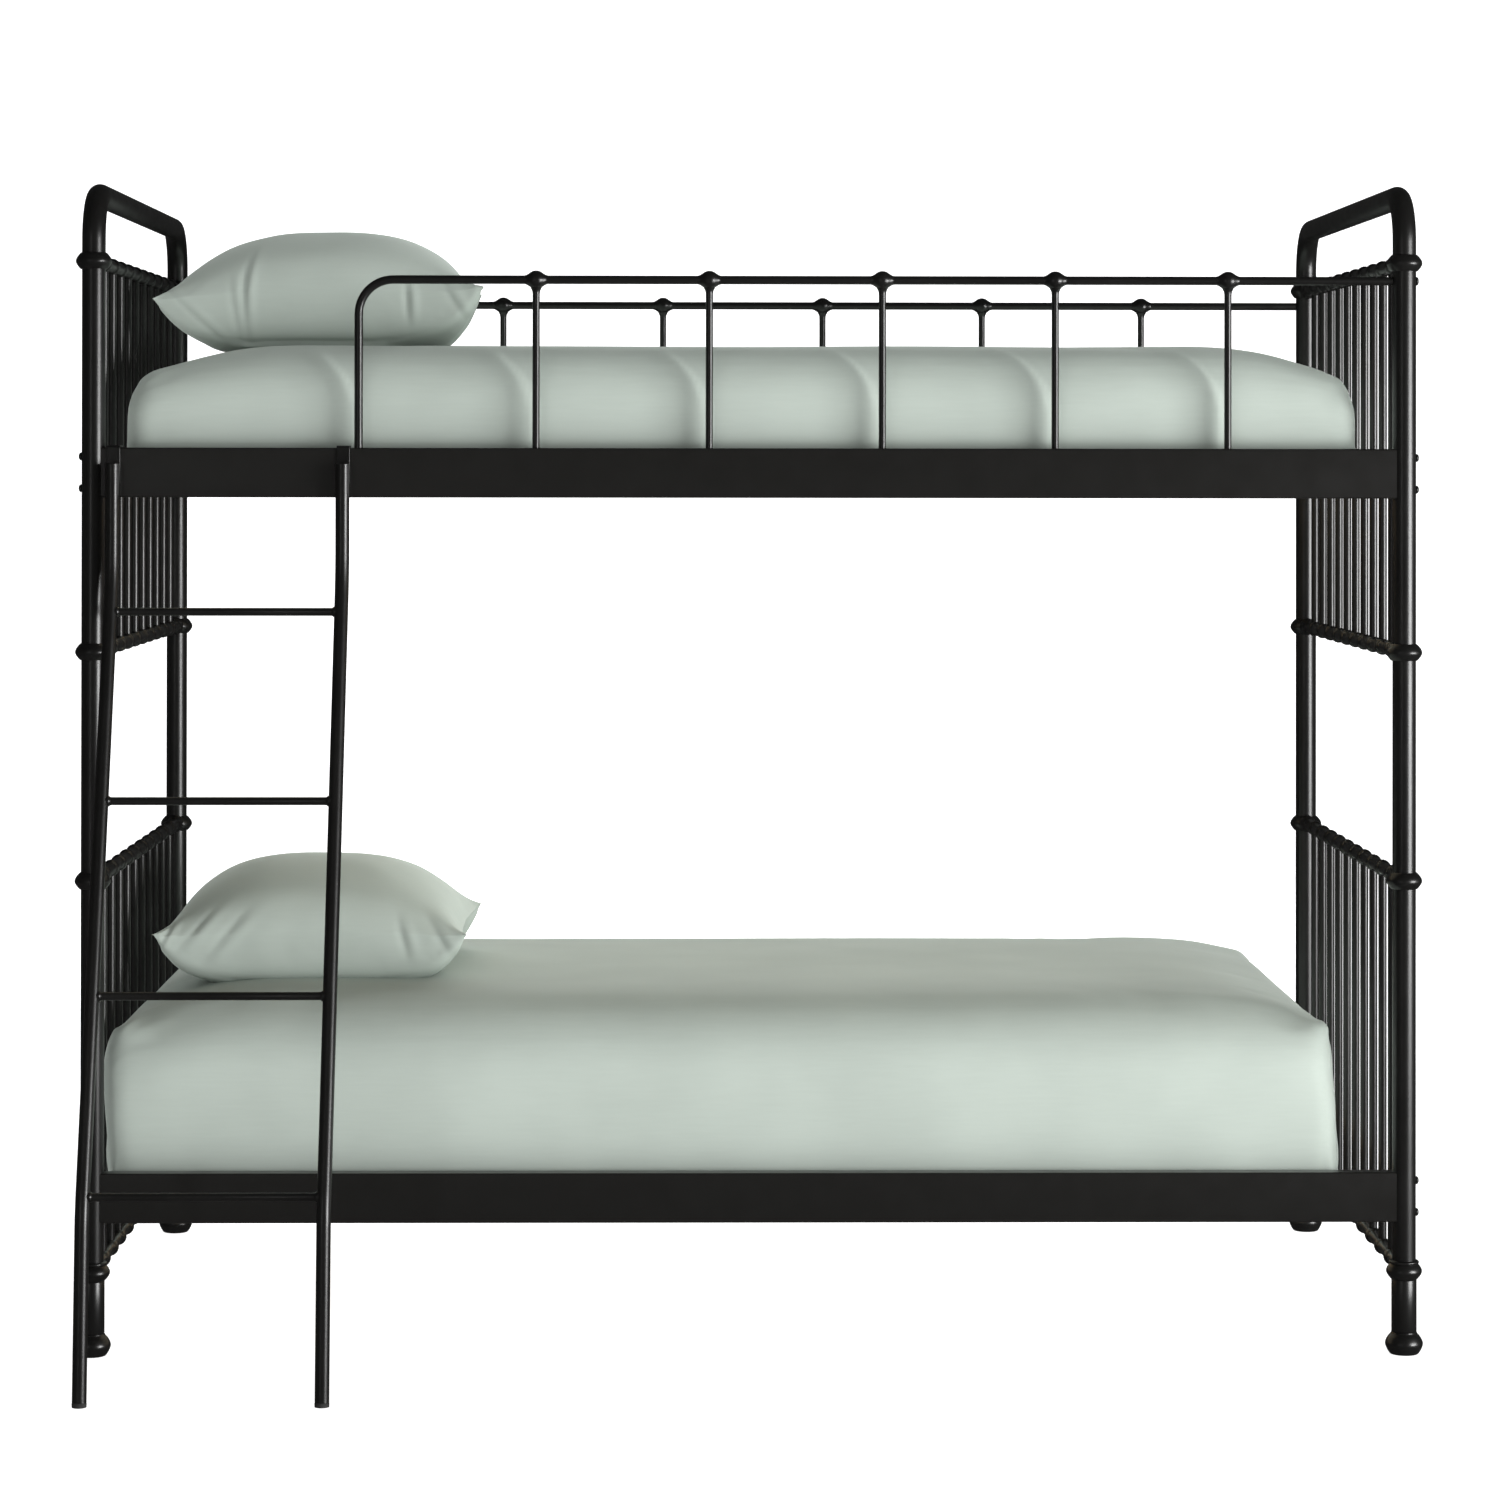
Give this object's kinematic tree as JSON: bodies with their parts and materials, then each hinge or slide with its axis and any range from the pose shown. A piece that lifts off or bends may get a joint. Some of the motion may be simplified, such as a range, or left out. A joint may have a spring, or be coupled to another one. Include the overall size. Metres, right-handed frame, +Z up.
{
  "type": "bunk bed with ladder",
  "caption": "Black iron twin-over-twin bunk bed with bent-tube end hoops, spindle ends, guard rails, a hook-on ladder, mattresses and pillows.",
  "frame": {"origin": "on the floor, under the middle of the outline of the bed with its ladder", "axes": "+X along the bed from the pillow end to the foot end, +Y from the ladder side to the back, +Z up"},
  "size_m": [2.037, 1.4072, 1.7687],
  "materials": {
    "iron": "satin",
    "bolt": "satin",
    "pine": "matte",
    "rubber": "matte",
    "sheet": "matte",
    "pillowcase": "matte"
  },
  "bodies": {
    "frame": {"left_end_hoop": "iron", "lower_left_spindle_panel": "iron", "upper_left_spindle_panel": "iron", "left_front_leg_tube": "iron", "left_front_cast_foot": "iron", "left_front_coupling_pin": "bolt", "left_back_leg_tube": "iron", "left_back_cast_foot": "iron", "left_back_coupling_pin": "bolt", "right_end_hoop": "iron", "lower_right_spindle_panel": "iron", "upper_right_spindle_panel": "iron", "right_front_leg_tube": "iron", "right_front_cast_foot": "iron", "right_front_coupling_pin": "bolt", "right_back_leg_tube": "iron", "right_back_cast_foot": "iron", "right_back_coupling_pin": "bolt", "lower_front_side_rail": "iron", "lower_front_left_top_rail_bolt": "bolt", "lower_front_left_bottom_rail_bolt": "bolt", "lower_front_right_top_rail_bolt": "bolt", "lower_front_right_bottom_rail_bolt": "bolt", "lower_back_side_rail": "iron", "lower_back_left_top_rail_bolt": "bolt", "lower_back_left_bottom_rail_bolt": "bolt", "lower_back_right_top_rail_bolt": "bolt", "lower_back_right_bottom_rail_bolt": "bolt", "upper_front_side_rail": "iron", "upper_front_left_top_rail_bolt": "bolt", "upper_front_left_bottom_rail_bolt": "bolt", "upper_front_right_top_rail_bolt": "bolt", "upper_front_right_bottom_rail_bolt": "bolt", "upper_back_side_rail": "iron", "upper_back_left_top_rail_bolt": "bolt", "upper_back_left_bottom_rail_bolt": "bolt", "upper_back_right_top_rail_bolt": "bolt", "upper_back_right_bottom_rail_bolt": "bolt", "lower_slat_base": "pine", "upper_slat_base": "pine", "front_guard_rail": "iron", "back_guard_rail": "iron", "front_right_guard_bolt": "bolt", "back_left_guard_bolt": "bolt", "back_right_guard_bolt": "bolt"},
    "ladder": {"ladder_left_side": "iron", "ladder_left_hook": "iron", "ladder_left_foot_plug": "rubber", "ladder_right_side": "iron", "ladder_right_hook": "iron", "ladder_right_foot_plug": "rubber", "ladder_rung_1": "iron", "ladder_rung_2": "iron", "ladder_rung_3": "iron", "ladder_rung_4": "iron"},
    "lower_mattress": {"lower_mattress": "sheet"},
    "upper_mattress": {"upper_mattress": "sheet"},
    "lower_pillow": {"lower_pillow": "pillowcase"},
    "upper_pillow": {"upper_pillow": "pillowcase"}
  },
  "joints": [
    {"name": "ladder_lift", "type": "slide", "parent": "frame", "child": "ladder", "axis": [0, 0, 1], "range_m": [0, 0.08]},
    {"name": "lower_mattress_lift", "type": "slide", "parent": "frame", "child": "lower_mattress", "axis": [0, 0, 1], "range_m": [0, 0.06]},
    {"name": "upper_mattress_lift", "type": "slide", "parent": "frame", "child": "upper_mattress", "axis": [0, 0, 1], "range_m": [0, 0.3]},
    {"name": "lower_pillow_lift", "type": "slide", "parent": "lower_mattress", "child": "lower_pillow", "axis": [0, 0, 1], "range_m": [0, 0.1]},
    {"name": "upper_pillow_lift", "type": "slide", "parent": "upper_mattress", "child": "upper_pillow", "axis": [0, 0, 1], "range_m": [0, 0.1]}
  ]
}
